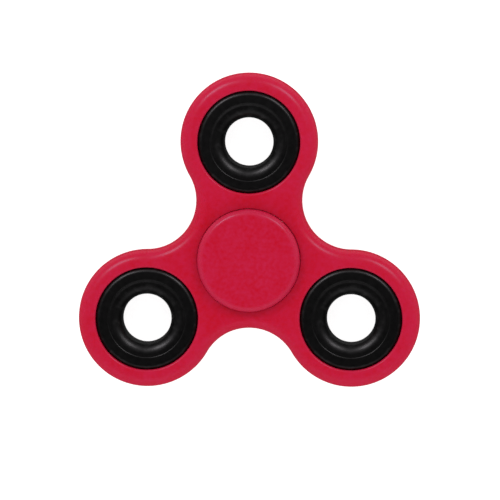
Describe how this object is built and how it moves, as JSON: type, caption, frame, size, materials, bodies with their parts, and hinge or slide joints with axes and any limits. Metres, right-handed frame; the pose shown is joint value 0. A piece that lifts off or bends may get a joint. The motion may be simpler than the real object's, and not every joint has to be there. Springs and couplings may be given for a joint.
{
  "type": "fidget spinner",
  "caption": "Lobed hand spinner whose moulded body, with an open counterweight ring in each lobe, turns on a central ball bearing held between flat finger buttons.",
  "frame": {"origin": "middle of the back button's flat face, which the spinner rests on, on the spin axis", "axes": "+Z along the spin axis from the back button to the front button; +Y from the spin axis towards the top lobe; +X to the right"},
  "size_m": [0.0736, 0.0677, 0.0122],
  "materials": {
    "red_plastic": "satin",
    "black_enamel": "satin",
    "bearing_steel": "polished",
    "pressed_steel": "satin"
  },
  "bodies": {
    "hub": {"front_cap": "red_plastic", "back_cap": "red_plastic", "bearing_inner_race": "bearing_steel"},
    "rotor": {"spinner_body": "red_plastic", "weight_ring_top": "black_enamel", "weight_ring_left": "black_enamel", "weight_ring_right": "black_enamel", "bearing_outer_race": "bearing_steel", "shield_front": "pressed_steel", "shield_back": "pressed_steel"},
    "cage": {"cage_front": "pressed_steel", "cage_back": "pressed_steel", "cage_rivet_1": "pressed_steel", "cage_rivet_2": "pressed_steel", "cage_rivet_3": "pressed_steel", "cage_rivet_4": "pressed_steel", "cage_rivet_5": "pressed_steel", "cage_rivet_6": "pressed_steel", "cage_rivet_7": "pressed_steel"},
    "ball_1": {"ball_1": "bearing_steel"},
    "ball_2": {"ball_2": "bearing_steel"},
    "ball_3": {"ball_3": "bearing_steel"},
    "ball_4": {"ball_4": "bearing_steel"},
    "ball_5": {"ball_5": "bearing_steel"},
    "ball_6": {"ball_6": "bearing_steel"},
    "ball_7": {"ball_7": "bearing_steel"}
  },
  "joints": [
    {"name": "rotor_spin", "type": "hinge", "parent": "hub", "child": "rotor", "pos_m": [0, 0, 0.0061], "axis": [0, 0, 1], "continuous": true},
    {"name": "cage_spin", "type": "hinge", "parent": "hub", "child": "cage", "pos_m": [0, 0, 0.0061], "axis": [0, 0, 1], "continuous": true},
    {"name": "ball_1_spin", "type": "hinge", "parent": "cage", "child": "ball_1", "pos_m": [0, 0.0075, 0.0061], "axis": [0, 0, 1], "continuous": true},
    {"name": "ball_2_spin", "type": "hinge", "parent": "cage", "child": "ball_2", "pos_m": [-0.00586, 0.00468, 0.0061], "axis": [0, 0, 1], "continuous": true},
    {"name": "ball_3_spin", "type": "hinge", "parent": "cage", "child": "ball_3", "pos_m": [-0.00731, -0.00167, 0.0061], "axis": [0, 0, 1], "continuous": true},
    {"name": "ball_4_spin", "type": "hinge", "parent": "cage", "child": "ball_4", "pos_m": [-0.00325, -0.00676, 0.0061], "axis": [0, 0, 1], "continuous": true},
    {"name": "ball_5_spin", "type": "hinge", "parent": "cage", "child": "ball_5", "pos_m": [0.00325, -0.00676, 0.0061], "axis": [0, 0, 1], "continuous": true},
    {"name": "ball_6_spin", "type": "hinge", "parent": "cage", "child": "ball_6", "pos_m": [0.00731, -0.00167, 0.0061], "axis": [0, 0, 1], "continuous": true},
    {"name": "ball_7_spin", "type": "hinge", "parent": "cage", "child": "ball_7", "pos_m": [0.00586, 0.00468, 0.0061], "axis": [0, 0, 1], "continuous": true}
  ],
  "couplings": [
    {"joint": "cage_spin", "follows": "rotor_spin", "ratio": 0.6323},
    {"joint": "ball_1_spin", "follows": "rotor_spin", "ratio": 1.7574},
    {"joint": "ball_2_spin", "follows": "rotor_spin", "ratio": 1.7574},
    {"joint": "ball_3_spin", "follows": "rotor_spin", "ratio": 1.7574},
    {"joint": "ball_4_spin", "follows": "rotor_spin", "ratio": 1.7574},
    {"joint": "ball_5_spin", "follows": "rotor_spin", "ratio": 1.7574},
    {"joint": "ball_6_spin", "follows": "rotor_spin", "ratio": 1.7574},
    {"joint": "ball_7_spin", "follows": "rotor_spin", "ratio": 1.7574}
  ]
}
